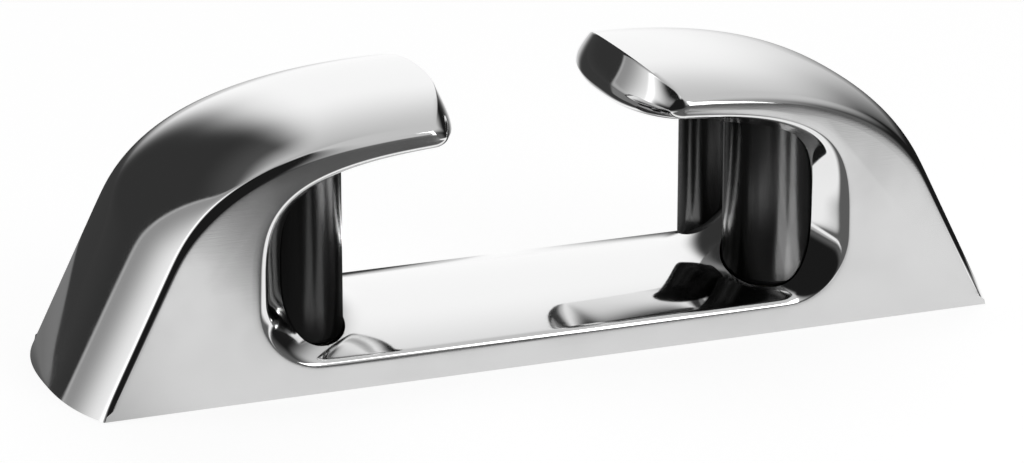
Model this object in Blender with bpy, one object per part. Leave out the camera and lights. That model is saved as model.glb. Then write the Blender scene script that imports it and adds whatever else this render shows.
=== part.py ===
"""Roller fairlead: a polished cast chock with two hooked horns and four upright rollers.

Metres, +Z up. The length lies along X, the rope runs along Y, and the origin is at the middle of the
underside. The casting is a closed outline in the XZ plane, swept across Y: it starts as the outline of the
flat front face, swells to the outline of the middle section, and comes back to the flat rear face.
"""
import math

import bmesh
import bpy

# Rollers and what carries them
ROLLER_RADIUS = 0.0152
ROLLER_LENGTH = 0.0584
ROLLER_END_ROUNDING = 0.0022
ROLLER_SPACING_X = 0.1632
ROLLER_ABOVE_FLOOR = 0.0027
BORE_WEB = 0.0042
BORE_CLEARANCE = 0.0008
PIN_RADIUS = 0.0050
PIN_SEAT = 0.0065
PIN_CHAMFER = 0.0006
PIN_SOCKET_FLOOR = 0.0020
FIT_GAP = 0.0003
WASHER_THICKNESS = 0.0009
WASHER_BAND = 0.0059
PLUG_BOTTOM = 0.0032
PLUG_CHAMFER = 0.0006
SPANNER_HOLE_RADIUS = 0.0015
SPANNER_HOLE_SPACING = 0.0200
SPANNER_HOLE_DEPTH = 0.0030
RING_THICKNESS = 0.0014
RING_BAND = 0.0030
RING_GROOVE_DEPTH = 0.0012
RING_OPEN_ANGLE = 28

# Flat faces of the casting
FACE_WALL = 0.0061
END_LENGTH = 0.0684
END_SLOPE = 0.501
FLOOR_HEIGHT = 0.0099
HORN_ROOF = 0.0084
HORN_EDGE_HEIGHT = 0.0055
HORN_TIP = 0.0385
KNEE_DROP = 0.0336
WALL_BESIDE_ROLLER = 0.0021
THROAT_FILLET = 0.0200
THROAT_WALL_TOP = 0.0340

# Middle section, where the casting is fullest
TOP_CROWN = 0.0096
END_CROWN = 0.0079
KNEE_RISE = 0.0027
FLOOR_CROWN = 0.0065
UNDERSIDE_CROWN = 0.0038
TIP_CROWN = 0.0105
NOSE_BEHIND_AXIS = 0.0041
NOSE_FILLET = 0.0260
NOSE_WALL_TOP = 0.0440
OUTER_SWELL_POWER = 2.6
INNER_SWELL_POWER = 2.1

# Fullness of the curves, as shares of the stretch that each one spans
BACK_RISE = 0.774
BACK_REACH = 0.443
UNDERSIDE_REACH = 0.965
WALL_RISE = 0.56

# Ends of the horns, as shares of the end's height: where the top starts to turn down and how full that turn
# is, how far down the foremost point lies, how full the turn below it is, where the underside starts and how
# far it dips towards the inner wall
FACE_END = (0.90, 0.50, 0.56, 0.50, 0.56, 0.65, 0.42)
MIDDLE_END = (0.48, 0.29, 0.76, 0.75, 0.99, 0.67, 0.48)

# Rounded edges of the flat faces
OUTER_EDGE_RADIUS = 0.0012
RIM_RADIUS = 0.0018
BASE_EDGE_RADIUS = 0.0004

# Hollow underside
PLATE_THICKNESS = 0.0051
PLATE_RECESS_END_WALL = 0.0096
SIDE_WALL = 0.0067
RECESS_CORNER = 0.0060
FOOT_POCKET_HEIGHT = 0.0400
FOOT_POCKET_TAPER = 0.0090
FOOT_INNER_WALL = 0.0064
FOOT_OUTER_WALL = 0.0035
FOOT_ROOF_WALL = 0.0075
BOSS_RADIUS = 0.0080
BOSS_FROM_END = 0.0300
BOSS_SPACING_Y = 0.0380
THREAD_CORE_RADIUS = 0.0042
THREAD_DEPTH = 0.0180

ROUND_SEGMENTS = 32
SMALL_SEGMENTS = 24
SPANNER_HOLE_SEGMENTS = 12
CORNER_STEPS = 4
ROUNDING_TURNS = (0, 30, 60, 90)
EDGE_SLICE_TURNS = (90, 55, 25, 0)
SLICE_SHARES = (0.86, 0.74, 0.60, 0.44, 0.28, 0.13)
SHARP_ANGLE = 35
BELOW_BASE = -0.0020

# Sizes that follow
ROLLER_X = ROLLER_SPACING_X / 2
HALF_FACE = ROLLER_X + END_LENGTH
BORE_RADIUS = ROLLER_RADIUS + BORE_CLEARANCE
ROLLER_Y = BORE_RADIUS + BORE_WEB / 2
HALF_WIDTH = ROLLER_Y + BORE_RADIUS + FACE_WALL
MIDDLE_FLOOR = FLOOR_HEIGHT + FLOOR_CROWN
ROLLER_BOTTOM = FLOOR_HEIGHT + ROLLER_ABOVE_FLOOR
ROLLER_TOP = ROLLER_BOTTOM + ROLLER_LENGTH
BORE_TOP = ROLLER_TOP + WASHER_THICKNESS + 2 * FIT_GAP
PIN_HOLE_TOP = BORE_TOP + PIN_SEAT
PIN_HOLE_RADIUS = PIN_RADIUS + FIT_GAP
LOWER_WASHER_BOTTOM = ROLLER_BOTTOM - FIT_GAP - WASHER_THICKNESS
PLUG_TOP = LOWER_WASHER_BOTTOM - FIT_GAP
PLUG_RADIUS = BORE_RADIUS - FIT_GAP
RING_BOTTOM = PLUG_BOTTOM - FIT_GAP - RING_THICKNESS
FACE_HEIGHT = BORE_TOP + HORN_ROOF
KNEE_HEIGHT = FACE_HEIGHT - KNEE_DROP
SIDES = (("left", -1), ("right", 1))
ROWS = (("front", -1), ("rear", 1))

# Points on each stretch of an outline: base, end slope, back of the horn, tip, underside, wall fillet, floor
STRETCHES = (3, 5, 14, 10, 12, 10, 3)


def clear_scene():
    for obj in list(bpy.data.objects):
        bpy.data.objects.remove(obj, do_unlink=True)


def make_material(name, color, roughness, metallic):
    material = bpy.data.materials.new(name)
    material.use_nodes = True
    shader = material.node_tree.nodes["Principled BSDF"]
    shader.inputs["Base Color"].default_value = (*color, 1.0)
    shader.inputs["Roughness"].default_value = roughness
    shader.inputs["Metallic"].default_value = metallic
    return material


def link_mesh(name, bm, material):
    """Turns a bmesh into a named object with smooth shading and outward normals."""
    bmesh.ops.recalc_face_normals(bm, faces=bm.faces)
    mesh = bpy.data.meshes.new(name)
    bm.to_mesh(mesh)
    bm.free()
    mesh.shade_smooth()
    mesh.set_sharp_from_angle(angle=math.radians(SHARP_ANGLE))
    if material:
        mesh.materials.append(material)
    obj = bpy.data.objects.new(name, mesh)
    bpy.context.scene.collection.objects.link(obj)
    return obj


def line(start, end, count):
    """Points from start up to, but not at, end."""
    return [
        (start[0] + (end[0] - start[0]) * i / count, start[1] + (end[1] - start[1]) * i / count)
        for i in range(count)
    ]


def bezier(a, b, c, d, count):
    """Points on a cubic curve from a up to, but not at, d."""
    points = []
    for i in range(count):
        t = i / count
        u = 1 - t
        weights = (u**3, 3 * t * u * u, 3 * t * t * u, t**3)
        points.append(tuple(sum(w * p[k] for w, p in zip(weights, (a, b, c, d))) for k in (0, 1)))
    return points


def arc(centre, radius, start, end, count):
    """Points on a circular arc between two angles in degrees, without the last one."""
    points = []
    for i in range(count):
        angle = math.radians(start + (end - start) * i / count)
        points.append((centre[0] + radius * math.cos(angle), centre[1] + radius * math.sin(angle)))
    return points


def tip_end(top, bottom, reach, end, count):
    """The rounded end of a horn between its top and its underside, reaching to x = reach."""
    top_pull, upper_fullness, nose_depth, lower_fullness = end[1:5]
    nose = (reach, top[1] - (top[1] - bottom[1]) * nose_depth)
    above = (reach, nose[1] + (top[1] - nose[1]) * upper_fullness)
    below = (reach, nose[1] - (nose[1] - bottom[1]) * lower_fullness)
    turn = (top[0] + (reach - top[0]) * top_pull, top[1])
    lower_turn = ((bottom[0] + reach) / 2, bottom[1])
    first = bezier(top, turn, above, nose, count // 2)
    second = bezier(nose, below, lower_turn, bottom, count // 2)
    return first + second


def half_outline(foot, knee, height, tip, edge, end, wall, wall_top, floor, fillet):
    """Right half of an outline of the casting, from the middle of the underside round to the floor.

    foot, tip and wall are x values, edge is the height of the horn's end, end holds the shares that shape
    it, and knee is the point where the sloping end turns into the back of the horn.
    """
    base, slope, back, nose, underside, bend, flat = STRETCHES
    turn = (height - knee[1]) * BACK_RISE
    knee_pull = (knee[0] - END_SLOPE * turn, knee[1] + turn)
    top = (tip + edge * end[0], height)
    top_pull = (top[0] + (knee[0] - top[0]) * BACK_REACH, height)
    under = (tip + edge * end[5], height - edge)
    depth = wall - under[0]
    under_pull = (under[0] + depth * UNDERSIDE_REACH, under[1] - edge * end[6])
    wall_pull = (wall, wall_top + (under[1] - wall_top) * WALL_RISE)
    return [
        *line((0, 0), (foot, 0), base),
        *line((foot, 0), knee, slope),
        *bezier(knee, knee_pull, top_pull, top, back),
        *tip_end(top, under, tip, end, nose),
        *bezier(under, under_pull, wall_pull, (wall, wall_top), underside),
        *arc((wall - fillet, floor + fillet), fillet, 0, -90, bend),
        *line((wall - fillet, floor), (0, floor), flat),
    ]


def face_outline():
    """The outline of the flat faces."""
    return half_outline(
        foot=HALF_FACE,
        knee=(HALF_FACE - KNEE_HEIGHT * END_SLOPE, KNEE_HEIGHT),
        height=FACE_HEIGHT,
        tip=HORN_TIP,
        edge=HORN_EDGE_HEIGHT,
        end=FACE_END,
        wall=ROLLER_X + ROLLER_RADIUS + WALL_BESIDE_ROLLER,
        wall_top=THROAT_WALL_TOP,
        floor=FLOOR_HEIGHT,
        fillet=THROAT_FILLET,
    )


def middle_outline():
    """The outline of the middle section, with as many points as the face outline."""
    foot = HALF_FACE + END_CROWN
    knee_height = KNEE_HEIGHT + KNEE_RISE
    return half_outline(
        foot=foot,
        knee=(foot - knee_height * END_SLOPE, knee_height),
        height=FACE_HEIGHT + TOP_CROWN,
        tip=HORN_TIP - TIP_CROWN,
        edge=HORN_EDGE_HEIGHT + TOP_CROWN + UNDERSIDE_CROWN,
        end=MIDDLE_END,
        wall=ROLLER_X - NOSE_BEHIND_AXIS,
        wall_top=NOSE_WALL_TOP,
        floor=MIDDLE_FLOOR,
        fillet=NOSE_FILLET,
    )


def mirrored(half, floor_middle):
    """Closes a right half to a full outline. Both halves share the two points at x = 0."""
    left = [(-x, z) for x, z in reversed(half[1:])]
    return half + [(0, floor_middle)] + left


def inward_normals(outline):
    """Unit vectors, one to a point, that lead into the casting."""
    normals = []
    count = len(outline)
    for i in range(count):
        before = outline[i - 1]
        after = outline[(i + 1) % count]
        dx = after[0] - before[0]
        dz = after[1] - before[1]
        length = math.hypot(dx, dz)
        normals.append((-dz / length, dx / length))
    return normals


def edge_radii(half_count, rim_start):
    """Rounding of the face's edge at each point: small underneath, larger round the throat."""
    half = []
    for i in range(half_count):
        if i <= STRETCHES[0]:
            half.append(BASE_EDGE_RADIUS)
        elif i < rim_start:
            half.append(OUTER_EDGE_RADIUS)
        else:
            half.append(RIM_RADIUS)
    return half + [RIM_RADIUS] + list(reversed(half[1:]))


def swell(y, power):
    """How far the casting has swollen at y, from 0 at the faces to 1 in the middle."""
    return 1 - abs(y / HALF_WIDTH) ** power


def slice_places():
    """The Y of each slice across the casting, close together where the edges are rounded."""
    edge = [HALF_WIDTH - RIM_RADIUS * (1 - math.sin(math.radians(a))) for a in EDGE_SLICE_TURNS]
    inside = [HALF_WIDTH * share for share in SLICE_SHARES]
    half = edge + inside
    return [-y for y in half] + [0] + list(reversed(half))


def edge_inset(y, radius):
    """How far a rounded edge of this radius has drawn the outline in at y."""
    depth = HALF_WIDTH - abs(y)
    if depth >= radius:
        return 0.0
    return radius - math.sqrt(max(0.0, radius**2 - (radius - depth) ** 2))


def casting_shell(material):
    face_half = face_outline()
    face = mirrored(face_half, FLOOR_HEIGHT)
    middle = mirrored(middle_outline(), MIDDLE_FLOOR)
    normals = inward_normals(face)
    rim_start = sum(STRETCHES[:4])
    radii = edge_radii(len(face_half), rim_start)
    count = len(face)
    bm = bmesh.new()
    rings = []
    for y in slice_places():
        ring = []
        for i, (start, end, normal) in enumerate(zip(face, middle, normals)):
            place = min(i, count - i)
            power = OUTER_SWELL_POWER if place < rim_start else INNER_SWELL_POWER
            share = swell(y, power)
            inset = edge_inset(y, radii[i])
            x = start[0] + (end[0] - start[0]) * share + normal[0] * inset
            z = start[1] + (end[1] - start[1]) * share + normal[1] * inset
            ring.append(bm.verts.new((x, y, max(z, 0.0))))
        rings.append(ring)
    for a, b in zip(rings, rings[1:]):
        for i in range(count):
            j = (i + 1) % count
            bm.faces.new((a[i], a[j], b[j], b[i]))
    bm.faces.new(rings[0])
    bm.faces.new(list(reversed(rings[-1])))
    return link_mesh("chock_body", bm, material)


def cylinder(name, radius, bottom, top, x, y, segments=ROUND_SEGMENTS):
    bm = bmesh.new()
    depth = top - bottom
    bmesh.ops.create_cone(bm, cap_ends=True, segments=segments, radius1=radius, radius2=radius, depth=depth)
    obj = link_mesh(name, bm, None)
    obj.location = (x, y, (bottom + top) / 2)
    return obj


def rounded_block(name, low, high, bottom, top, corner):
    """A block with rounded upright edges. low and high are (x0, x1, y half width) at bottom and top."""
    bm = bmesh.new()
    rings = []
    for (x0, x1, half), z in ((low, bottom), (high, top)):
        ring = []
        for cx, cy, start in (
            (x1 - corner, half - corner, 0),
            (x0 + corner, half - corner, 90),
            (x0 + corner, -half + corner, 180),
            (x1 - corner, -half + corner, 270),
        ):
            for step in range(CORNER_STEPS + 1):
                angle = math.radians(start + 90 * step / CORNER_STEPS)
                point = (cx + corner * math.cos(angle), cy + corner * math.sin(angle), z)
                ring.append(bm.verts.new(point))
        rings.append(ring)
    count = len(rings[0])
    for i in range(count):
        j = (i + 1) % count
        bm.faces.new((rings[0][i], rings[0][j], rings[1][j], rings[1][i]))
    bm.faces.new(list(reversed(rings[0])))
    bm.faces.new(rings[1])
    return link_mesh(name, bm, None)


def cut(body, cutter):
    cutter.hide_render = True
    cutter.display_type = "WIRE"
    modifier = body.modifiers.new(cutter.name, "BOOLEAN")
    modifier.operation = "DIFFERENCE"
    modifier.object = cutter


def roller_axes():
    """Name, x and y of each roller's axis."""
    for side, sx in SIDES:
        for row, sy in ROWS:
            yield f"{side}_{row}", sx * ROLLER_X, sy * ROLLER_Y


def foot_pocket(side, sx):
    """A tapered pocket that follows the sloping end, with two bosses left standing in it."""
    inner = ROLLER_X + BORE_RADIUS + FOOT_INNER_WALL
    outer_low = HALF_FACE - FOOT_OUTER_WALL
    outer_high = HALF_FACE - FOOT_POCKET_HEIGHT * END_SLOPE - FOOT_ROOF_WALL
    half = HALF_WIDTH - SIDE_WALL
    low = (inner, outer_low, half)
    high = (inner, outer_high, half - FOOT_POCKET_TAPER)
    if sx < 0:
        low = (-outer_low, -inner, low[2])
        high = (-outer_high, -inner, high[2])
    pocket = rounded_block(f"{side}_foot_pocket", low, high, BELOW_BASE, FOOT_POCKET_HEIGHT, RECESS_CORNER)
    for name, x, y in boss_axes():
        if x * sx > 0:
            top = FOOT_POCKET_HEIGHT + FIT_GAP
            cut(pocket, cylinder(f"{name}_boss", BOSS_RADIUS, 0, top, x, y, SMALL_SEGMENTS))
    return pocket


def boss_axes():
    """Name, x and y of each fixing boss."""
    for side, sx in SIDES:
        for row, sy in ROWS:
            yield f"{side}_{row}", sx * (HALF_FACE - BOSS_FROM_END), sy * BOSS_SPACING_Y / 2


def hollow_underside(body):
    """The casting is hollow below: a recess under the plate and a pocket in each foot."""
    end = ROLLER_X - BORE_RADIUS - PLATE_RECESS_END_WALL
    recess = (-end, end, HALF_WIDTH - SIDE_WALL)
    top = FLOOR_HEIGHT - PLATE_THICKNESS
    cut(body, rounded_block("plate_recess", recess, recess, BELOW_BASE, top, RECESS_CORNER))
    for side, sx in SIDES:
        cut(body, foot_pocket(side, sx))
    for name, x, y in boss_axes():
        core = cylinder(f"{name}_thread", THREAD_CORE_RADIUS, BELOW_BASE, THREAD_DEPTH, x, y, SMALL_SEGMENTS)
        cut(body, core)


def roller_bores(body):
    """A bore from below for each roller, with a ring groove near its mouth and a blind hole for the pin."""
    for name, x, y in roller_axes():
        cut(body, cylinder(f"{name}_bore", BORE_RADIUS, BELOW_BASE, BORE_TOP, x, y))
        hole_name = f"{name}_pin_hole"
        cut(body, cylinder(hole_name, PIN_HOLE_RADIUS, ROLLER_TOP, PIN_HOLE_TOP, x, y, SMALL_SEGMENTS))
        groove_radius = BORE_RADIUS + RING_GROOVE_DEPTH
        cut(body, cylinder(f"{name}_groove", groove_radius, RING_BOTTOM - FIT_GAP, PLUG_BOTTOM, x, y))


def chock_body(material):
    body = casting_shell(material)
    hollow_underside(body)
    roller_bores(body)
    return body


def turned(name, profile, material, segments=ROUND_SEGMENTS):
    """A ring or disc turned from (radius, z) points that run round its section."""
    bm = bmesh.new()
    rings = []
    for radius, z in profile:
        steps = segments if radius > 0 else 1
        ring = []
        for i in range(steps):
            angle = 2 * math.pi * i / steps
            ring.append(bm.verts.new((radius * math.cos(angle), radius * math.sin(angle), z)))
        rings.append(ring)
    for a, b in zip(rings, rings[1:] + rings[:1]):
        for i in range(segments):
            j = (i + 1) % segments
            corners = [a[i % len(a)], a[j % len(a)], b[j % len(b)], b[i % len(b)]]
            unique = list(dict.fromkeys(corners))
            if len(unique) > 2:
                bm.faces.new(unique)
    return link_mesh(name, bm, material)


def roller(name, x, y, material):
    """A plain bored cylinder with rounded ends, its origin on its axis."""
    half = ROLLER_LENGTH / 2
    profile = [(PIN_HOLE_RADIUS, half), (PIN_HOLE_RADIUS, -half)]
    for end, turns in ((-1, ROUNDING_TURNS), (1, reversed(ROUNDING_TURNS))):
        for turn in turns:
            angle = math.radians(turn)
            radius = ROLLER_RADIUS - ROLLER_END_ROUNDING * (1 - math.sin(angle))
            height = half - ROLLER_END_ROUNDING * (1 - math.cos(angle))
            profile.append((radius, end * height))
    obj = turned(f"{name}_roller", profile, material)
    obj.location = (x, y, ROLLER_BOTTOM + half)


def washer(name, x, y, bottom, material):
    outer = PIN_HOLE_RADIUS + WASHER_BAND
    profile = [
        (PIN_HOLE_RADIUS, WASHER_THICKNESS),
        (PIN_HOLE_RADIUS, 0),
        (outer, 0),
        (outer, WASHER_THICKNESS),
    ]
    obj = turned(name, profile, material)
    obj.location = (x, y, bottom)


def pin(name, x, y, material):
    bottom = PLUG_BOTTOM + PIN_SOCKET_FLOOR + FIT_GAP
    length = PIN_HOLE_TOP - FIT_GAP - bottom
    profile = [
        (0, length),
        (0, 0),
        (PIN_RADIUS - PIN_CHAMFER, 0),
        (PIN_RADIUS, PIN_CHAMFER),
        (PIN_RADIUS, length - PIN_CHAMFER),
        (PIN_RADIUS - PIN_CHAMFER, length),
    ]
    obj = turned(f"{name}_pin", profile, material, SMALL_SEGMENTS)
    obj.location = (x, y, bottom)


def bottom_plug(name, x, y, material):
    """A round plug with a blind socket for the pin in its top and two spanner holes below."""
    height = PLUG_TOP - PLUG_BOTTOM
    profile = [
        (0, PIN_SOCKET_FLOOR),
        (PIN_HOLE_RADIUS, PIN_SOCKET_FLOOR),
        (PIN_HOLE_RADIUS, height),
        (PLUG_RADIUS - PLUG_CHAMFER, height),
        (PLUG_RADIUS, height - PLUG_CHAMFER),
        (PLUG_RADIUS, 0),
        (0, 0),
    ]
    plug = turned(f"{name}_bottom_plug", profile, material)
    plug.location = (x, y, PLUG_BOTTOM)
    for side, sx in SIDES:
        place = sx * SPANNER_HOLE_SPACING / 2
        hole_name = f"{name}_{side}_spanner_hole"
        hole = cylinder(
            hole_name,
            SPANNER_HOLE_RADIUS,
            BELOW_BASE,
            SPANNER_HOLE_DEPTH,
            place,
            0,
            SPANNER_HOLE_SEGMENTS,
        )
        hole.parent = plug
        cut(plug, hole)


def retaining_ring(name, x, y, material):
    """A sprung ring with an open gap, seated in the groove below the plug."""
    outer = BORE_RADIUS + RING_GROOVE_DEPTH - FIT_GAP
    inner = outer - RING_BAND
    bm = bmesh.new()
    sections = []
    for i in range(ROUND_SEGMENTS + 1):
        angle = math.radians(RING_OPEN_ANGLE / 2 + (360 - RING_OPEN_ANGLE) * i / ROUND_SEGMENTS)
        section = []
        for radius, z in ((inner, 0), (outer, 0), (outer, RING_THICKNESS), (inner, RING_THICKNESS)):
            section.append(bm.verts.new((radius * math.cos(angle), radius * math.sin(angle), z)))
        sections.append(section)
    for a, b in zip(sections, sections[1:]):
        for i in range(4):
            j = (i + 1) % 4
            bm.faces.new((a[i], b[i], b[j], a[j]))
    bm.faces.new(sections[0])
    bm.faces.new(list(reversed(sections[-1])))
    ring = link_mesh(f"{name}_retaining_ring", bm, material)
    ring.location = (x, y, RING_BOTTOM)


def build():
    clear_scene()
    polished = make_material("polished_stainless", (0.78, 0.78, 0.77), 0.06, 1.0)
    black_plastic = make_material("black_nylon", (0.012, 0.012, 0.013), 0.22, 0.0)
    turned_steel = make_material("turned_stainless", (0.62, 0.62, 0.61), 0.28, 1.0)
    washer_plastic = make_material("white_acetal", (0.72, 0.72, 0.68), 0.40, 0.0)
    chock_body(polished)
    for name, x, y in roller_axes():
        roller(name, x, y, black_plastic)
        washer(f"{name}_lower_washer", x, y, LOWER_WASHER_BOTTOM, washer_plastic)
        washer(f"{name}_upper_washer", x, y, ROLLER_TOP + FIT_GAP, washer_plastic)
        pin(name, x, y, turned_steel)
        bottom_plug(name, x, y, turned_steel)
        retaining_ring(name, x, y, turned_steel)


build()
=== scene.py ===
import math

import bpy
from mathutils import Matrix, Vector


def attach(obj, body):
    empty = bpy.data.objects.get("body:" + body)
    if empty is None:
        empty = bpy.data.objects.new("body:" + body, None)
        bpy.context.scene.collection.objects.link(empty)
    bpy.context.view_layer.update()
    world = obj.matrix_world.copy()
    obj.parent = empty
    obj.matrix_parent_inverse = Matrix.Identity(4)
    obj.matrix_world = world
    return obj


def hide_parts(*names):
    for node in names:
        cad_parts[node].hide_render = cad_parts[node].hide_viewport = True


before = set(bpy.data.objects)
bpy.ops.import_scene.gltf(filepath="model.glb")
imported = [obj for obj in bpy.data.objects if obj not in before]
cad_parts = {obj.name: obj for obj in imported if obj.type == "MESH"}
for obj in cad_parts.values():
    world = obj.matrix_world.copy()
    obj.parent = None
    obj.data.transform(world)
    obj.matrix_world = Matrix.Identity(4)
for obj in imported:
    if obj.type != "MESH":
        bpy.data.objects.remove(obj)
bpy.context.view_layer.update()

mm = 0.001

# Roller fairlead. +X runs along the length to the right horn, the rope runs along Y, +Z is up from the deck.
# Sizes are in millimetres unless a note says otherwise.

# the casting's two outlines: of the flat faces, and of the middle section where it is fullest
casting = {
    "halfWidth": 40.2,
    "endSlope": 0.501,          # how far the back leans in for each millimetre up
    "face": {"foot": 150.0, "knee": 47.3, "height": 80.9, "tip": 38.5, "edge": 5.5,
             "wall": 98.9, "wallTop": 34.0, "floor": 9.9, "fillet": 20.0,
             "end": (0.85, 0.50, 0.0, 0.56, 0.50, 0.56, 0.65, 0.42)},
    "middle": {"foot": 157.9, "knee": 50.0, "height": 90.5, "tip": 28.0, "edge": 19.3,
               "wall": 77.5, "wallTop": 44.0, "floor": 16.4, "fillet": 26.0,
               "end": (0.26, 0.15, 0.15, 0.24, 0.69, 0.70, 0.68, 0.47)},
    # "end", as shares of the end's height: how far its upper edge stands back, how the curve leaves that edge
    # along and down, fullness above the nose, depth of the nose, fullness below it, where the underside
    # starts and how far it dips further in
    "kneePull": 0.774,          # fullness of the back above the knee, as a share of its rise
    "topPull": 0.443,           # the same where the back reaches the top
    "underPull": 0.965,         # fullness of the horn's underside along it
    "wallPull": 0.56,           # the same down to the throat's wall
    "outerPower": 2.6,          # how squarely the back of the horns is crowned
    "innerPower": 2.1,          # the same inside the throat
    "endCrease": 0.72,          # how crisp the edge between a horn's top and its end is
    "noseCrease": 0.5,          # the same between its end and its underside
    "outerEdge": 2.6,           # rounding between a flat face and the back of a horn
    "slopeEdge": 1.6,           # the same down the straight slope
    "edgeGrowth": 4,            # points of the outline over which the one grows into the other
    "rimEdge": 1.8,             # rounding round the throat
    "baseEdge": 0.3,
    "flatMargin": 1.6,          # flat ring inside each face's edge, so the face shades flat
    "thinMargin": 0.15,         # share of it at the horn's tip, which is thin
    "thinEdge": 0.6,            # share of the outer rounding there
    "thinLength": 60,           # both grow to their full size over this length
    "thinAbove": 20,            # the margin narrows only above this height
    "endBulge": 0.5,            # how far the flat's thin end is rounded
    "edgeSteps": (0, 14, 28, 42, 56, 70, 90),                           # degrees round the edge's rounding
    "widthSteps": (0.87, 0.78, 0.67, 0.54, 0.40, 0.26, 0.13, 0.0),      # shares of the half width
    "smoothLevels": 2,
    "smoothAngle": 32,
}
# points along each stretch of the outline, from the middle of the base round the horn to the throat's floor
stretches = {"base": 4, "slope": 6, "back": 18, "end": 12, "underside": 15, "bend": 12, "floor": 4}

rollers = {
    "x": 81.6, "y": 18.1, "radius": 15.2, "bottom": 12.6, "top": 71.0,
    "rounding": 2.2, "hole": 5.3, "clearance": 0.8, "segments": 256,
    "straight": 0.15,           # a line this far in from each rounding keeps the side straight
    "smoothAngle": 40,
}

# what is machined or cored out of the casting from below
hollows = {
    "boreTop": 72.5, "pinHoleTop": 79.0,
    "grooveRadius": 17.2, "groove": (1.2, 3.2),
    "recess": (56.0, 33.5, 4.8), "corner": 6.0,             # half length, half width, height
    "pocketX": (104.0, 146.5, 122.5), "pocketY": (33.5, 24.5), "pocketTop": 40.0,
    "bossX": 120.0, "bossY": 19.0, "bossRadius": 8.0,
    "threadRadius": 4.2, "threadDepth": 18.0,
    "below": -2.0,                                          # cutters start under the base
    "boreSegments": 128, "holeSegments": 48,
}


def selectOnly(obj):
    for other in bpy.context.selected_objects:
        other.select_set(False)
    obj.select_set(True)
    bpy.context.view_layer.objects.active = obj


def editMode(obj):
    selectOnly(obj)
    bpy.ops.object.mode_set(mode="EDIT")


def objectMode():
    bpy.ops.object.mode_set(mode="OBJECT")


def applyModifiers(obj):
    selectOnly(obj)
    for modifier in list(obj.modifiers):
        bpy.ops.object.modifier_apply(modifier=modifier.name)


def settle(obj):
    selectOnly(obj)
    bpy.ops.object.transform_apply(location=True, rotation=True, scale=True)


# outlines

def linePoints(start, end, count):
    return [tuple(a + (b - a) * i / count for a, b in zip(start, end)) for i in range(count)]


def bezierPoints(a, b, c, d, count):
    points = []
    for i in range(count):
        t = i / count
        u = 1 - t
        weights = (u ** 3, 3 * t * u * u, 3 * t * t * u, t ** 3)
        points.append(tuple(sum(w * p[k] for w, p in zip(weights, (a, b, c, d))) for k in (0, 1)))
    return points


def arcPoints(centre, radius, start, end, count):
    points = []
    for i in range(count):
        angle = math.radians(start + (end - start) * i / count)
        points.append((centre[0] + radius * math.cos(angle), centre[1] + radius * math.sin(angle)))
    return points


def tipPoints(top, bottom, reach, end, count):
    pullAlong, pullDown, fullAbove, noseDepth, fullBelow = end[1:6]
    nose = (reach, top[1] - (top[1] - bottom[1]) * noseDepth)
    above = (reach, nose[1] + (top[1] - nose[1]) * fullAbove)
    below = (reach, nose[1] - (nose[1] - bottom[1]) * fullBelow)
    turn = (top[0] + (reach - top[0]) * pullAlong, top[1] + (nose[1] - top[1]) * pullDown)
    lowerTurn = ((bottom[0] + reach) / 2, bottom[1])
    upper = bezierPoints(top, turn, above, nose, count // 2)
    return upper + bezierPoints(nose, below, lowerTurn, bottom, count // 2)


def halfOutline(shape):
    # right half, from the middle of the underside round the horn to the middle of the floor
    slope = casting["endSlope"]
    knee = (shape["foot"] - shape["knee"] * slope, shape["knee"])
    turn = (shape["height"] - knee[1]) * casting["kneePull"]
    kneePull = (knee[0] - slope * turn, knee[1] + turn)
    top = (shape["tip"] + shape["edge"] * shape["end"][0], shape["height"])
    topPull = (top[0] + (knee[0] - top[0]) * casting["topPull"], shape["height"])
    under = (shape["tip"] + shape["edge"] * shape["end"][6], shape["height"] - shape["edge"])
    reach = shape["wall"] - under[0]
    underPull = (under[0] + reach * casting["underPull"], under[1] - shape["edge"] * shape["end"][7])
    wallPull = (shape["wall"], shape["wallTop"] + (under[1] - shape["wallTop"]) * casting["wallPull"])
    wallTop = (shape["wall"], shape["wallTop"])
    bend = (shape["wall"] - shape["fillet"], shape["floor"] + shape["fillet"])
    return [
        *linePoints((0, 0), (shape["foot"], 0), stretches["base"]),
        *linePoints((shape["foot"], 0), knee, stretches["slope"]),
        *bezierPoints(knee, kneePull, topPull, top, stretches["back"]),
        *tipPoints(top, under, shape["tip"], shape["end"], stretches["end"]),
        *bezierPoints(under, underPull, wallPull, wallTop, stretches["underside"]),
        *arcPoints(bend, shape["fillet"], 0, -90, stretches["bend"]),
        *linePoints((bend[0], shape["floor"]), (0, shape["floor"]), stretches["floor"]),
    ]


def fullOutline(shape):
    half = halfOutline(shape)
    return half + [(0, shape["floor"])] + [(-x, z) for x, z in reversed(half[1:])]


def inwardNormals(outline):
    normals = []
    for i, point in enumerate(outline):
        before, after = outline[i - 1], outline[(i + 1) % len(outline)]
        dx, dz = after[0] - before[0], after[1] - before[1]
        length = math.hypot(dx, dz)
        normals.append((-dz / length, dx / length))
    return normals


def roundingInset(depth, radius):
    if depth >= radius:
        return 0.0
    return radius - math.sqrt(radius ** 2 - (radius - depth) ** 2)


def sliceDepths():
    # depth below the flat face of each slice, from the face to the middle
    rim = max(casting["rimEdge"], casting["outerEdge"])
    edge = [rim * (1 - math.cos(math.radians(a))) for a in casting["edgeSteps"]]
    inside = [casting["halfWidth"] * (1 - share) for share in casting["widthSteps"]]
    return edge + inside


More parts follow.
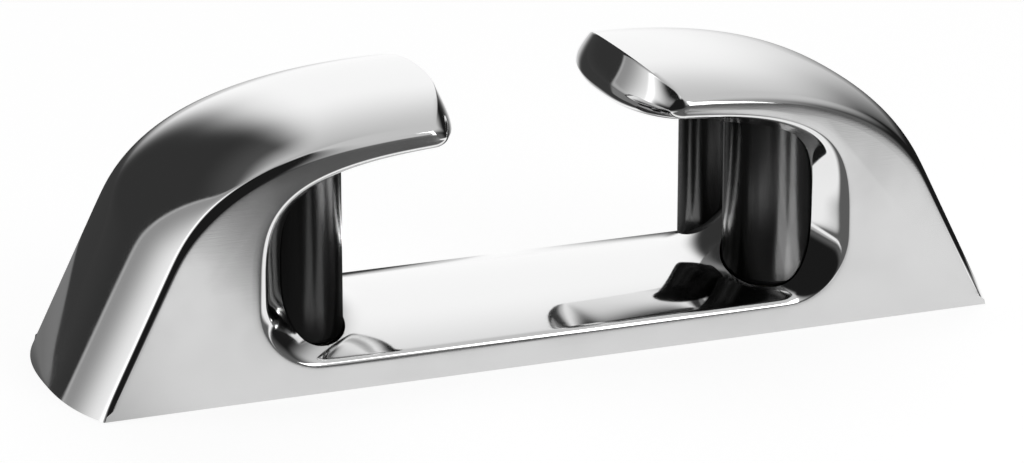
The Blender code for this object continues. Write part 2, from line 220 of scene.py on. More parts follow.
def edgeShape(face, normals, ridge, rimStart):
    # for each point of the face: the radius of its edge, the way in to the flat, and the flat's margin
    count = len(face)
    radii, roundings, margins = [], [], []
    for i in range(count):
        place = min(i, count - i)
        beyond = max(0, abs(face[i][0]) - casting["face"]["tip"]) / casting["thinLength"]
        thin = min(1, casting["thinMargin"] + beyond) if face[i][1] > casting["thinAbove"] else 1
        grown = min(1, max(0, place - stretches["base"] - stretches["slope"]) / casting["edgeGrowth"])
        radius = casting["slopeEdge"] + (casting["outerEdge"] - casting["slopeEdge"]) * grown
        radius = casting["rimEdge"] if place >= rimStart else radius * min(1, casting["thinEdge"] + beyond)
        if place <= stretches["base"]:
            radius = casting["baseEdge"]
        margin = casting["flatMargin"] * thin
        radii.append(radius)
        roundings.append([n * radius for n in normals[i]])
        margins.append([n * margin for n in normals[i]])
    for side in (1, -1):                    # round the horn's thin end the flat's outline runs straight across
        first, last = side * ridge % count, side * rimStart % count
        for step in range(ridge + 1, rimStart):
            i = side * step % count
            t = (step - ridge) / (rimStart - ridge)
            bulge = casting["endBulge"] * math.sin(math.pi * t)
            radii[i] = radii[first] + (radii[last] - radii[first]) * t
            ends = [[face[k][a] + roundings[k][a] for a in (0, 1)] for k in (first, last)]
            target = [a + (b - a) * t for a, b in zip(*ends)]
            roundings[i] = [target[0] - side * bulge - face[i][0], target[1] - face[i][1]]
            margins[i] = [a + (b - a) * t for a, b in zip(margins[first], margins[last])]
            margins[i][0] += side * bulge / 2
    return radii, roundings, margins


def castingShell():
    # the outline swept across the width: it swells from each flat face to the middle section
    face = fullOutline(casting["face"])
    middle = fullOutline(casting["middle"])
    normals = inwardNormals(face)
    count = len(face)
    rimStart = sum(stretches[k] for k in ("base", "slope", "back", "end"))
    ridge = rimStart - stretches["end"]
    corner = stretches["base"]
    width = casting["halfWidth"]
    radii, roundings, margins = edgeShape(face, normals, ridge, rimStart)
    places = [-width - 1] + [-width + depth for depth in sliceDepths()]     # the first ring is the flat margin
    places += [-y for y in reversed(places[:-1])]

    bpy.ops.mesh.primitive_circle_add(vertices=count, radius=0.1, fill_type="NOTHING")
    shell = bpy.context.object
    shell.name = "casting"
    for vertex, (x, z) in zip(shell.data.vertices, face):
        vertex.co = (x, places[0], z)
    editMode(shell)
    bpy.ops.mesh.select_all(action="SELECT")
    for before, after in zip(places, places[1:]):
        bpy.ops.mesh.extrude_region_move(TRANSFORM_OT_translate={"value": (0, after - before, 0)})
    objectMode()

    index = {(v.co.x, v.co.z): v.index for v in shell.data.vertices[:count]}
    creases = shell.data.attributes.new("crease_edge", "FLOAT", "EDGE")
    rank = []
    for vertex in shell.data.vertices:      # an extruded point keeps the x and z of the one it came from
        i = index[(vertex.co.x, vertex.co.z)]
        place = min(i, count - i)
        y = vertex.co.y
        margin = abs(y) > width
        y = max(-width, min(width, y))
        power = casting["innerPower"] if place >= rimStart else casting["outerPower"]
        share = 1 - abs(y / width) ** power
        fill = roundingInset(width - abs(y), radii[i]) / radii[i]
        dx, dz = [a * fill + (b if margin else 0) for a, b in zip(roundings[i], margins[i])]
        start, end = face[i], middle[i]
        x = start[0] + (end[0] - start[0]) * share + dx
        z = start[1] + (end[1] - start[1]) * share + dz
        vertex.co = (x * mm, y * mm, max(z, 0) * mm)
        rank.append(place)
    for edge in shell.data.edges:
        a, b = edge.vertices
        if rank[a] == rank[b] == corner:
            creases.data[edge.index].value = 1.0
        elif rank[a] == rank[b] == ridge:
            creases.data[edge.index].value = casting["endCrease"]
        elif rank[a] == rank[b] == ridge + stretches["end"] // 2:
            creases.data[edge.index].value = casting["noseCrease"]
    return shell


def closeFaces(shell):
    for side in (-1, 1):
        editMode(shell)
        bpy.ops.mesh.select_mode(type="EDGE")
        bpy.ops.mesh.select_all(action="DESELECT")
        bpy.ops.mesh.select_non_manifold(extend=False)
        objectMode()
        for edge in shell.data.edges:
            if edge.select and shell.data.vertices[edge.vertices[0]].co.y * side < 0:
                edge.select = False
        bpy.ops.object.mode_set(mode="EDIT")
        bpy.ops.mesh.edge_face_add()
        objectMode()


def addCylinder(name, radius, bottom, top, x, y, segments):
    bpy.ops.mesh.primitive_cylinder_add(
        vertices=segments, radius=radius * mm, depth=(top - bottom) * mm,
        location=(x * mm, y * mm, (top + bottom) / 2 * mm))
    obj = bpy.context.object
    obj.name = name
    settle(obj)
    return obj


def rollerPlaces():
    for side, sx in (("left", -1), ("right", 1)):
        for row, sy in (("front", -1), ("rear", 1)):
            yield f"{side}_{row}", sx * rollers["x"], sy * rollers["y"]


def cutAway(body, cutters):
    selectOnly(cutters[0])
    for cutter in cutters[1:]:
        cutter.select_set(True)
    if len(cutters) > 1:
        bpy.ops.object.join()
    cutter = cutters[0]
    modifier = body.modifiers.new("cut", "BOOLEAN")
    modifier.operation = "DIFFERENCE"
    modifier.solver = "EXACT"
    modifier.object = cutter
    applyModifiers(body)
    bpy.data.objects.remove(cutter, do_unlink=True)


def selectWhere(obj, kind, test):
    # deselects all, then selects the vertices or edges whose middle passes the test, in millimetres
    bpy.ops.mesh.select_mode(type=kind)
    bpy.ops.mesh.select_all(action="DESELECT")
    objectMode()
    points = obj.data.vertices
    for item in points if kind == "VERT" else obj.data.edges:
        ends = [item.co] if kind == "VERT" else [points[i].co for i in item.vertices]
        item.select = all(test(end / mm) for end in ends)
    bpy.ops.object.mode_set(mode="EDIT")


def addBlock(name, low, high):
    size = [b - a for a, b in zip(low, high)]
    bpy.ops.mesh.primitive_cube_add(size=1, location=[(a + b) / 2 * mm for a, b in zip(low, high)])
    block = bpy.context.object
    block.name = name
    block.scale = [side * mm for side in size]
    settle(block)
    return block


def roundCorners(block, radius):
    editMode(block)
    bpy.ops.mesh.select_mode(type="EDGE")
    bpy.ops.mesh.select_all(action="DESELECT")
    objectMode()
    for edge in block.data.edges:
        a, b = [block.data.vertices[i].co for i in edge.vertices]
        edge.select = abs(a.z - b.z) > 0.9 * block.dimensions.z
    bpy.ops.object.mode_set(mode="EDIT")
    bpy.ops.mesh.bevel(offset=radius * mm, segments=8, affect="EDGES")
    objectMode()


def footPocket(side):
    below, top = hollows["below"], hollows["pocketTop"]
    inner, outer, outerTop = hollows["pocketX"]
    half, halfTop = hollows["pocketY"]
    x0, x1 = sorted((side * inner, side * outer))
    pocket = addBlock("foot_pocket", (x0, -half, below), (x1, half, top))
    editMode(pocket)
    selectWhere(pocket, "VERT", lambda p: p.z > top - 1 and abs(p.x) > outer - 1)
    bpy.ops.transform.translate(value=(side * (outerTop - outer) * mm, 0, 0))
    selectWhere(pocket, "VERT", lambda p: p.z > top - 1)
    bpy.ops.transform.resize(value=(1, halfTop / half, 1), center_override=(0, 0, 0))
    objectMode()
    roundCorners(pocket, hollows["corner"])
    bosses = [addCylinder("boss", hollows["bossRadius"], 0, top + 1, side * hollows["bossX"],
                          row * hollows["bossY"], hollows["holeSegments"]) for row in (-1, 1)]
    cutAway(pocket, bosses)
    return pocket


def undersideCutters():
    below = hollows["below"]
    halfLength, halfWidth, height = hollows["recess"]
    recess = addBlock("plate_recess", (-halfLength, -halfWidth, below), (halfLength, halfWidth, height))
    roundCorners(recess, hollows["corner"])
    return [recess, footPocket(-1), footPocket(1)]


def threadCutters():
    return [addCylinder("thread", hollows["threadRadius"], hollows["below"], hollows["threadDepth"],
                        side * hollows["bossX"], row * hollows["bossY"], hollows["holeSegments"])
            for side in (-1, 1) for row in (-1, 1)]


def boreCutters():
    bore = rollers["radius"] + rollers["clearance"]
    return [addCylinder("bore", bore, hollows["below"], hollows["boreTop"], x, y, hollows["boreSegments"])
            for name, x, y in rollerPlaces()]


def narrowCutters():
    cutters = []
    low, high = hollows["groove"]
    for name, x, y in rollerPlaces():
        cutters.append(addCylinder("groove", hollows["grooveRadius"], low, high, x, y, hollows["boreSegments"]))
        cutters.append(addCylinder("pin_hole", rollers["hole"], rollers["top"], hollows["pinHoleTop"], x, y,
                                   hollows["holeSegments"]))
    return cutters


def buildCasting():
    body = castingShell()
    subdivision = body.modifiers.new("smooth", "SUBSURF")
    subdivision.levels = subdivision.render_levels = casting["smoothLevels"]
    applyModifiers(body)
    closeFaces(body)
    editMode(body)
    bpy.ops.mesh.select_all(action="SELECT")
    bpy.ops.mesh.normals_make_consistent(inside=False)
    objectMode()
    cutAway(body, boreCutters())
    cutAway(body, narrowCutters())
    cutAway(body, undersideCutters())
    cutAway(body, threadCutters())
    selectOnly(body)
    bpy.ops.object.shade_smooth_by_angle(angle=math.radians(casting["smoothAngle"]))
    print("casting", len(body.data.polygons), "faces")
    return body


# where each finish of the casting is, by the middle of a face
zones = {
    "polished": 0, "satin": 1, "blasted": 2, "machined": 3,     # places of the materials
    "flatTilt": 0.95, "flatSkin": 0.15,                         # how square and how near the flat face lies
    "baseSkin": 0.05,
    "bores": ((1.4, 10.5), (0.05, 73.0)),                       # past the bore's radius, up to this height
    "pinHole": (5.5, 80.0),
    "skin": 0.1, "pocketSkin": 0.3,
}


def finishCasting(body, finishes):
    for material in finishes:
        body.data.materials.append(material)
    width = casting["halfWidth"]
    bore = rollers["radius"] + rollers["clearance"]
    drilled = [(bore + past, height) for past, height in zones["bores"]] + [zones["pinHole"]]
    length, half, height = [size + zones["skin"] for size in hollows["recess"]]
    inner, pocketTop = hollows["pocketX"][0] - zones["skin"], hollows["pocketTop"] + zones["skin"]
    for face in body.data.polygons:
        x, y, z = face.center / mm
        along = math.hypot(abs(x) - rollers["x"], abs(y) - rollers["y"])
        if abs(face.normal.y) > zones["flatTilt"] and abs(y) > width - zones["flatSkin"]:
            face.material_index = zones["satin"]
        elif z < zones["baseSkin"] or any(along < radius and z < top for radius, top in drilled):
            face.material_index = zones["machined"]
        elif abs(x) < length and z < height and abs(y) < half:
            face.material_index = zones["blasted"]
        elif abs(x) > inner and z < pocketTop and insidePocket(abs(x), abs(y), z):
            face.material_index = zones["blasted"]


def insidePocket(x, y, z):
    inner, outer, outerTop = hollows["pocketX"]
    half, halfTop = hollows["pocketY"]
    share = (z - hollows["below"]) / (hollows["pocketTop"] - hollows["below"])
    skin = zones["pocketSkin"]
    return x < outer + (outerTop - outer) * share + skin and y < half + (halfTop - half) * share + skin


# rollers

def buildRoller(name, x, y):
    bottom, top = rollers["bottom"], rollers["top"]
    roller = addCylinder(f"{name}_nylon_roller", rollers["radius"], bottom, top, x, y, rollers["segments"])
    editMode(roller)
    bpy.ops.mesh.select_mode(type="FACE")
    bpy.ops.mesh.select_all(action="DESELECT")
    objectMode()
    for face in roller.data.polygons:
        face.select = abs(face.normal.z) > 0.9
    bpy.ops.object.mode_set(mode="EDIT")
    bpy.ops.mesh.inset(thickness=(rollers["radius"] - rollers["hole"]) * mm, use_individual=True)
    bpy.ops.mesh.delete(type="FACE")
    selectWhere(roller, "EDGE", lambda p: math.hypot(p.x - x, p.y - y) < rollers["hole"] + 0.5)
    bpy.ops.mesh.bridge_edge_loops()
    selectWhere(roller, "VERT", lambda p: math.hypot(p.x - x, p.y - y) > rollers["radius"] - 0.5)
    bpy.ops.mesh.select_mode(type="EDGE")
    objectMode()
    for edge in roller.data.edges:
        a, b = [roller.data.vertices[i].co for i in edge.vertices]
        edge.select = edge.select and abs(a.z - b.z) < 0.1 * mm
    bpy.ops.object.mode_set(mode="EDIT")
    bpy.ops.mesh.bevel(offset=rollers["rounding"] * mm, segments=6, affect="EDGES")
    inset = rollers["rounding"] + rollers["straight"]
    for height in (bottom + inset, top - inset):
        bpy.ops.mesh.select_all(action="SELECT")
        bpy.ops.mesh.bisect(plane_co=(0, 0, height * mm), plane_no=(0, 0, 1))
    bpy.ops.mesh.select_all(action="SELECT")
    bpy.ops.mesh.normals_make_consistent(inside=False)
    objectMode()
    selectOnly(roller)
    bpy.ops.object.shade_smooth_by_angle(angle=math.radians(rollers["smoothAngle"]))
    return roller


# materials

def hexColour(text):
    values = [int(text[i:i + 2], 16) / 255 for i in (1, 3, 5)]
    linear = [v / 12.92 if v <= 0.04045 else ((v + 0.055) / 1.055) ** 2.4 for v in values]
    return (*linear, 1.0)


def addNode(tree, kind, settings, inputs):
    # a value that is a socket is linked, any other is set
    node = tree.nodes.new(kind)
    for name, value in settings.items():
        setattr(node, name, value)
    for key, value in inputs.items():
        if isinstance(value, bpy.types.NodeSocket):
            tree.links.new(value, node.inputs[key])
        else:
            node.inputs[key].default_value = value
    return node


def newMaterial(name):
    material = bpy.data.materials.new(name)
    material.use_nodes = True
    tree = material.node_tree
    shader = tree.nodes["Principled BSDF"]
    place = tree.nodes.new("ShaderNodeTexCoord").outputs["Object"]
    return material, tree, shader, place


# a pattern's scale is 1000 / its size; "spread" is the part of a pattern that the roughness follows
finishes = {
    "polished": {"colour": "#ececec", "roughness": (0.035, 0.085), "spread": (0.12, 0.42),
                 "wave": 24.0, "smear": 9.0, "scratch": 0.5, "stretch": (0.06, 1.0, 0.35),
                 "height": 0.06, "strength": 0.5},
    "satin": {"colour": "#d8d8d8", "roughness": (0.17, 0.26), "spread": (0.35, 0.65),
              "line": 0.25, "lineLength": 9.0, "cloud": 22.0, "height": 0.02, "strength": 0.4},
    "blasted": {"colour": "#8f8e8b", "roughness": (0.5, 0.68), "spread": (0.3, 0.7),
                "grain": 0.6, "detail": 4.0, "height": 0.05, "strength": 0.8},
    "machined": {"colour": "#b9b8b5", "roughness": (0.24, 0.36), "spread": (0.35, 0.65),
                 "pitch": 0.6, "cloud": 6.0, "height": 0.004, "strength": 0.4},
    "turned": {"colour": "#b5b4b1", "roughness": (0.2, 0.32), "spread": (0.35, 0.65),
               "pitch": 0.5, "cloud": 6.0, "height": 0.003, "strength": 0.4},
    "nylon": {"colour": "#050505", "roughness": (0.17, 0.2), "spread": (0.35, 0.65),
              "pitch": 0.7, "cloud": 12.0, "height": 0.0001, "strength": 0.4},
    "acetal": {"colour": "#dcdad2", "roughness": (0.36, 0.48), "spread": (0.3, 0.7),
               "grain": 0.4, "detail": 3.0, "height": 0.01, "strength": 0.5},
}
waveTurn = 20       # radians that a wave texture turns over one unit at scale 1
# real tool lines are too fine for the picture, so they are drawn wider apart: one radian of them is the pitch


def surfaceShader(tree, shader, look, sheen, relief, metallic):
    # colour, sheen and relief from the finish's values and two patterns
    start, end = look["spread"]
    low, high = look["roughness"]
    rough = addNode(tree, "ShaderNodeMapRange", {}, {0: sheen, 1: start, 2: end, 3: low, 4: high})
    bump = addNode(tree, "ShaderNodeBump", {},
                   {"Height": relief, "Strength": look["strength"], "Distance": look["height"] * mm})
    shader.inputs["Base Color"].default_value = hexColour(look["colour"])
    shader.inputs["Metallic"].default_value = metallic
    tree.links.new(rough.outputs[0], shader.inputs["Roughness"])
    tree.links.new(bump.outputs[0], shader.inputs["Normal"])


# hand-polished casting: a bright mirror whose reflections waver a little, with the faintest smears
def polishedSteel():
    look = finishes["polished"]
    material, tree, shader, place = newMaterial("mirror-polished cast 316 stainless steel")
    wave = addNode(tree, "ShaderNodeTexNoise", {},
                   {"Vector": place, "Scale": 1000 / look["wave"], "Detail": 1.0})
    smear = addNode(tree, "ShaderNodeTexNoise", {},
                    {"Vector": place, "Scale": 1000 / look["smear"], "Detail": 4.0})
    stretch = addNode(tree, "ShaderNodeMapping", {}, {"Vector": place, "Scale": look["stretch"]})
    scratch = addNode(tree, "ShaderNodeTexNoise", {},
                      {"Vector": stretch.outputs[0], "Scale": 1000 / look["scratch"], "Detail": 2.0})
    mixed = addNode(tree, "ShaderNodeMath", {"operation": "MULTIPLY"},
                    {0: smear.outputs[0], 1: scratch.outputs[0]})
    surfaceShader(tree, shader, look, mixed.outputs[0], wave.outputs[0], 1.0)
    return material


# flat faces dressed on a fine belt: a soft sheen that blurs what it reflects, with grain along the length
def satinSteel():
    look = finishes["satin"]
    material, tree, shader, place = newMaterial("belt-linished cast 316 stainless steel")
    stretch = addNode(tree, "ShaderNodeMapping", {},
                      {"Vector": place, "Scale": (look["line"] / look["lineLength"], 1.0, 1.0)})
    line = addNode(tree, "ShaderNodeTexNoise", {},
                   {"Vector": stretch.outputs[0], "Scale": 1000 / look["line"], "Detail": 3.0})
    cloud = addNode(tree, "ShaderNodeTexNoise", {},
                    {"Vector": place, "Scale": 1000 / look["cloud"], "Detail": 3.0})
    surfaceShader(tree, shader, look, cloud.outputs[0], line.outputs[0], 1.0)
    return material


# cored hollows as they left the shot blast: dull grey and finely pitted; acetal sheet: white, a little waxy
def grained(name, key, metallic):
    look = finishes[key]
    material, tree, shader, place = newMaterial(name)
    grain = addNode(tree, "ShaderNodeTexNoise", {},
                    {"Vector": place, "Scale": 1000 / look["grain"], "Detail": look["detail"]})
    surfaceShader(tree, shader, look, grain.outputs[0], grain.outputs[0], metallic)
    return material


# machined, turned and bored faces: fine tool lines across the axis; the nylon's are the faintest
def toolMarked(name, key, metallic):
    look = finishes[key]
    material, tree, shader, place = newMaterial(name)
    line = addNode(tree, "ShaderNodeTexWave", {"bands_direction": "Z"},
                   {"Vector": place, "Scale": 1000 / look["pitch"] / waveTurn,
                    "Distortion": 0.6, "Detail": 2.0, "Detail Scale": 2.0})
    cloud = addNode(tree, "ShaderNodeTexNoise", {},
                    {"Vector": place, "Scale": 1000 / look["cloud"], "Detail": 3.0})
    surfaceShader(tree, shader, look, cloud.outputs[0], line.outputs[0], metallic)
    return material


# studio: a white tent with dark flags, so that the polished metal has something to show. Angles in degrees:
# turn is 0 straight behind the object and 90 to its right, or 0 in front where "front" is set, and rise is up.
# Places, widths and lengths in metres, power in watts
studio = {
    "white": 1.07,
    "flags": [
        # the tent dims overhead and towards the right
        {"turn": (-200, 200), "soft": (1, 1), "rise": (56, 200), "softRise": (50, 1), "level": 0.52},
        {"turn": (46, 200), "soft": (44, 1), "rise": (-90, 90), "softRise": (1, 1), "level": 0.62},
        # right: black, its near edge leaning away as it rises
        {"turn": (36, 135), "soft": (34, 30), "rise": (-40, 34), "softRise": (1, 34), "level": 0.012,
         "lean": -0.45},
        # behind on the left: grey above, nearly black below, wider near the table
        {"turn": (-85, 1), "soft": (4, 20), "rise": (-60, 66), "softRise": (1, 16), "level": 0.08},
        {"turn": (-85, -3), "soft": (4, 18), "rise": (-60, 50), "softRise": (1, 24), "level": 0.035},
        {"turn": (-60, 13), "soft": (6, 8), "rise": (-60, -1), "softRise": (1, 12), "level": 0.06},
        # left: a light panel that fades towards its crisp edge, with a brighter bar up it
        {"turn": (-100, -36), "soft": (6, 3), "rise": (2, 90), "softRise": (8, 4), "level": 1.0, "lean": 0.28},
        {"turn": (-52, -36), "soft": (26, 3), "rise": (2, 90), "softRise": (8, 4), "level": 0.31, "lean": 0.28},
        {"turn": (-73, -67), "soft": (3, 3), "rise": (4, 62), "softRise": (6, 10), "level": 1.4},
        # front: dim near the table, black to the left
        {"turn": (-60, 105), "soft": (30, 10), "rise": (-14, 20), "softRise": (8, 16), "level": 0.12,
         "front": True},
        {"turn": (-10, 100), "soft": (16, 16), "rise": (2, 84), "softRise": (8, 10), "level": 0.012,
         "front": True},
    ],
    # upright softbox at the front right
    "key": {"place": (0.37, -0.73, 0.52), "aim": (0, 0, 0.04), "size": (0.18, 0.62), "power": 0.9},
    "floorSize": 8.0,
    "floorDrop": 0.0002,                        # keeps the paper clear of the flat underside
    "floorColour": "#a0a0a0", "floorGlow": 0.86,
    # painted reflection: the floor glows for reflected rays alone, with painted shade dim on the left and a
    # painted dark patch before the throat
    "paintedDimLeft": (-0.17, -0.11, 0.5),           # from, to, level on the left
    "paintedShadeBeforeThroat": (-0.045, 0.095, -0.074, 0.12), # left, right, front, level
    "paintedShadeSoft": 0.03,
    "tableEnd": (0.22, 0.5), "tableBack": (-0.03, 0.02),    # where it gives way to the tent, outwards and back
    "paintedReflectionGlow": 0.85,
    # strips lying low that put the upright gleam on the rollers: from, to, width and power
    "gleams": (
        ((0.102, -0.075, 0.0005), (0.150, -0.245, 0.0005), 0.045, 1.38),        # right front
        ((-0.050, -0.087, 0.0005), (0.042, -0.207, 0.0005), 0.034, 0.23),       # left front
        ((0.052, 0.0175, 0.0175), (-0.060, 0.0525, 0.0175), 0.011, 0.08),       # right rear, over the throat
    ),
}


def studioLevel(tree, direction):
    # brightness of the tent in a direction
    part = addNode(tree, "ShaderNodeSeparateXYZ", {}, {0: direction}).outputs
    flat = addNode(tree, "ShaderNodeMath", {"operation": "ARCTAN2"}, {0: part[0], 1: part[1]})
    turn = addNode(tree, "ShaderNodeMath", {"operation": "DEGREES"}, {0: flat.outputs[0]})
    minusX = addNode(tree, "ShaderNodeMath", {"operation": "MULTIPLY"}, {0: part[0], 1: -1.0})
    minusY = addNode(tree, "ShaderNodeMath", {"operation": "MULTIPLY"}, {0: part[1], 1: -1.0})
    frontFlat = addNode(tree, "ShaderNodeMath", {"operation": "ARCTAN2"},
                        {0: minusX.outputs[0], 1: minusY.outputs[0]})
    frontTurn = addNode(tree, "ShaderNodeMath", {"operation": "DEGREES"}, {0: frontFlat.outputs[0]})
    up = addNode(tree, "ShaderNodeMath", {"operation": "ARCSINE"}, {0: part[2]})
    rise = addNode(tree, "ShaderNodeMath", {"operation": "DEGREES"}, {0: up.outputs[0]})
    level = None
    for flag in studio["flags"]:
        start = frontTurn if flag.get("front") else turn
        lean = addNode(tree, "ShaderNodeMath", {"operation": "MULTIPLY_ADD"},
                       {0: rise.outputs[0], 1: flag.get("lean", 0.0), 2: start.outputs[0]})
        edges = []
        for value, limits, softness in ((lean, "turn", "soft"), (rise, "rise", "softRise")):
            for place, soft, ends in zip(flag[limits], flag[softness], ((0, 1), (1, 0))):
                edges.append(addNode(tree, "ShaderNodeMapRange", {"interpolation_type": "SMOOTHSTEP"},
                                     {0: value.outputs[0], 1: place - soft / 2, 2: place + soft / 2,
                                      3: ends[0], 4: ends[1]}))
        mask = edges[0]
        for edge in edges[1:]:
            mask = addNode(tree, "ShaderNodeMath", {"operation": "MULTIPLY"},
                           {0: mask.outputs[0], 1: edge.outputs[0]})
        before = level.outputs[0] if level else studio["white"]
        level = addNode(tree, "ShaderNodeMix", {"data_type": "FLOAT"},
                        {0: mask.outputs[0], 2: before, 3: flag["level"]})
    return level.outputs[0]


def buildWorld():
    world = bpy.data.worlds.new("studio")
    bpy.context.scene.world = world
    world.use_nodes = True
    tree = world.node_tree
    tree.nodes.clear()
    direction = tree.nodes.new("ShaderNodeTexCoord").outputs["Generated"]
    tent = addNode(tree, "ShaderNodeBackground", {},
                   {"Color": (1, 1, 1, 1), "Strength": studioLevel(tree, direction)})
    white = addNode(tree, "ShaderNodeBackground", {}, {"Color": (1, 1, 1, 1), "Strength": 1.0})
    path = tree.nodes.new("ShaderNodeLightPath")
    mixed = addNode(tree, "ShaderNodeMixShader", {},
                    {0: path.outputs["Is Camera Ray"], 1: tent.outputs[0], 2: white.outputs[0]})
    addNode(tree, "ShaderNodeOutputWorld", {}, {"Surface": mixed.outputs[0]})


def buildFloor():
    bpy.ops.mesh.primitive_plane_add(size=studio["floorSize"], location=(0, 0, -studio["floorDrop"]))
    floor = bpy.context.object
    floor.name = "studio_floor"
    settle(floor)
    material, tree, shader, place = newMaterial("white floor with painted reflection shade")
    tree.nodes.remove(shader)

    distance = addNode(tree, "ShaderNodeVectorMath", {"operation": "LENGTH"}, {0: place}).outputs["Value"]
    direction = addNode(tree, "ShaderNodeVectorMath", {"operation": "NORMALIZE"}, {0: place}).outputs[0]
    x, y = addNode(tree, "ShaderNodeSeparateXYZ", {}, {0: place}).outputs[:2]
    far = studioLevel(tree, direction)
    # painted reflection: reflected rays see the floor dimmed on the left, dark before the throat, and with the
    # tent's flags painted on it further out
    left, right, paintedDimLevel = studio["paintedDimLeft"]
    darkLeft, darkRight, darkFront, paintedShadeLevel = studio["paintedShadeBeforeThroat"]
    soft = studio["paintedShadeSoft"]
    edges = []
    for value, start, end, low, high in (
            (x, left, right, paintedDimLevel, 1.0),
            (x, darkLeft - soft, darkLeft, 0.0, 1.0), (x, darkRight, darkRight + soft, 1.0, 0.0),
            (y, darkFront - soft, darkFront, 1.0, 0.0),
            (distance, *studio["tableEnd"], 1.0, 0.0), (y, *studio["tableBack"], 1.0, 0.0)):
        edges.append(addNode(tree, "ShaderNodeMapRange", {"interpolation_type": "SMOOTHSTEP"},
                             {0: value, 1: start, 2: end, 3: low, 4: high}).outputs[0])
    paintedDimRamp, darkStart, darkEnd, darkDepth, nearby, before = edges
    dark = addNode(tree, "ShaderNodeMath", {"operation": "MULTIPLY"}, {0: darkStart, 1: darkEnd}).outputs[0]
    dark = addNode(tree, "ShaderNodeMath", {"operation": "MULTIPLY"}, {0: dark, 1: darkDepth}).outputs[0]
    near = addNode(tree, "ShaderNodeMix", {"data_type": "FLOAT"},
                   {0: dark, 2: paintedDimRamp, 3: paintedShadeLevel}).outputs[0]
    toFront = addNode(tree, "ShaderNodeMath", {"operation": "MULTIPLY"}, {0: nearby, 1: before}).outputs[0]
    level = addNode(tree, "ShaderNodeMix", {"data_type": "FLOAT"}, {0: toFront, 2: far, 3: near}).outputs[0]

    path = tree.nodes.new("ShaderNodeLightPath").outputs
    # the painted glow and painted shade show in reflections alone; to the camera the floor is evenly white and
    # keeps real shadows
    reflected = addNode(tree, "ShaderNodeMath", {"operation": "MAXIMUM"},
                        {0: path["Is Glossy Ray"], 1: path["Is Transmission Ray"]}).outputs[0]
    glow = addNode(tree, "ShaderNodeMath", {"operation": "MULTIPLY"},
                   {0: level, 1: studio["paintedReflectionGlow"]}).outputs[0]
    glow = addNode(tree, "ShaderNodeMath", {"operation": "MULTIPLY"}, {0: reflected, 1: glow}).outputs[0]
    glow = addNode(tree, "ShaderNodeMath", {"operation": "MULTIPLY_ADD"},
                   {0: path["Is Camera Ray"], 1: studio["floorGlow"], 2: glow}).outputs[0]
    tone = addNode(tree, "ShaderNodeMix", {"data_type": "FLOAT"}, {0: reflected, 2: 1.0, 3: level}).outputs[0]
    tone = addNode(tree, "ShaderNodeMix", {"data_type": "RGBA"},
                   {0: tone, 6: (0, 0, 0, 1), 7: hexColour(studio["floorColour"])}).outputs[2]
    paper = addNode(tree, "ShaderNodeBsdfDiffuse", {}, {"Color": tone})
    light = addNode(tree, "ShaderNodeEmission", {}, {"Color": (1, 1, 1, 1), "Strength": glow})
    both = addNode(tree, "ShaderNodeAddShader", {}, {0: paper.outputs[0], 1: light.outputs[0]})
    output = [n for n in tree.nodes if n.type == "OUTPUT_MATERIAL"][0]
    tree.links.new(both.outputs[0], output.inputs["Surface"])
    floor.data.materials.append(material)


def buildKeyLight():
    key = studio["key"]
    data = bpy.data.lights.new("softbox", "AREA")
    data.shape = "RECTANGLE"
    data.size, data.size_y = key["size"]
    data.energy = key["power"]
    lamp = bpy.data.objects.new("softbox", data)
    lamp.location = key["place"]
    lamp.rotation_euler = (Vector(key["place"]) - Vector(key["aim"])).to_track_quat("Z", "Y").to_euler()
    bpy.context.scene.collection.objects.link(lamp)


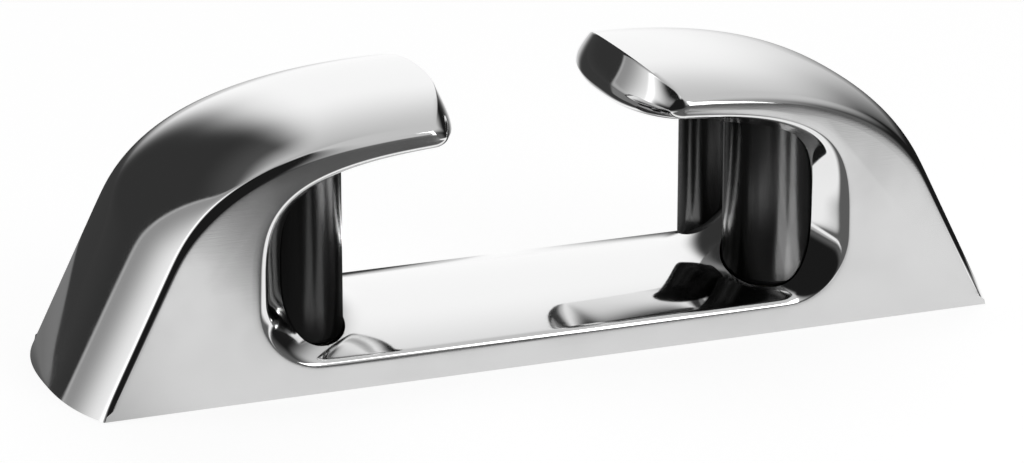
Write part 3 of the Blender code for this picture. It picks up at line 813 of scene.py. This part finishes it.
def buildGleams(rollerPieces):
    # each strip shines on the rollers alone
    lit = bpy.data.collections.new("rollers in the gleam")
    for piece in rollerPieces:
        lit.objects.link(piece)
    for start, end, width, power in studio["gleams"]:
        along = Vector(end) - Vector(start)
        data = bpy.data.lights.new("gleam", "AREA")
        data.shape = "RECTANGLE"
        data.size, data.size_y = width, along.length
        data.energy = power
        lamp = bpy.data.objects.new("gleam", data)
        lamp.location = (Vector(start) + Vector(end)) / 2
        lamp.rotation_euler = (0, math.pi, math.atan2(along.y, along.x) - math.pi / 2)
        lamp.visible_camera = False
        lamp.light_linking.receiver_collection = lit
        bpy.context.scene.collection.objects.link(lamp)


# fitted to the photograph: a long lens from the front left, a little above
view = {"lens": 155.6, "sensor": 36, "place": (-0.49635, -1.25975, 0.47982), "tilt": 18.34, "pan": 21.46}


def buildCamera():
    data = bpy.data.cameras.new("camera")
    data.lens = view["lens"]
    data.sensor_width = view["sensor"]
    data.clip_end = 100
    camera = bpy.data.objects.new("camera", data)
    camera.location = view["place"]
    camera.rotation_euler = (math.radians(90 - view["tilt"]), 0, math.radians(-view["pan"]))
    bpy.context.scene.collection.objects.link(camera)
    bpy.context.scene.camera = camera


bpy.context.scene.view_settings.view_transform = "Standard"
selectOnly(next(iter(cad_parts.values())))
buildCamera()
buildWorld()
buildFloor()
buildKeyLight()
print("studio ready")

machined = toolMarked("machined 316 stainless steel", "machined", 1.0)
turned = toolMarked("turned 316 stainless steel", "turned", 1.0)
nylon = toolMarked("turned black nylon", "nylon", 0.0)
nylon.node_tree.nodes["Principled BSDF"].inputs["Specular IOR Level"].default_value = 0.09
blasted = grained("shot-blasted cast 316 stainless steel", "blasted", 1.0)
white = grained("stamped white acetal sheet", "acetal", 0.0)
white.node_tree.nodes["Principled BSDF"].inputs["IOR"].default_value = 1.48
print("materials ready")

body = buildCasting()
finishCasting(body, (polishedSteel(), satinSteel(), blasted, machined))
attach(body, "chock")
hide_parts("chock_body")

rollerPieces = []
for name, x, y in rollerPlaces():
    roller = buildRoller(name, x, y)
    rollerPieces.append(roller)
    roller.data.materials.append(nylon)
    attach(roller, f"{name}_roller_body")
    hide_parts(f"{name}_roller")
buildGleams(rollerPieces)
print("rollers ready")

hardware = {"pin": turned, "bottom_plug": turned, "retaining_ring": turned,
            "lower_washer": white, "upper_washer": white}
for node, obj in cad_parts.items():
    for ending, material in hardware.items():
        if node.endswith(ending):
            for slot in obj.material_slots:
                slot.material = material
print("hardware dressed")
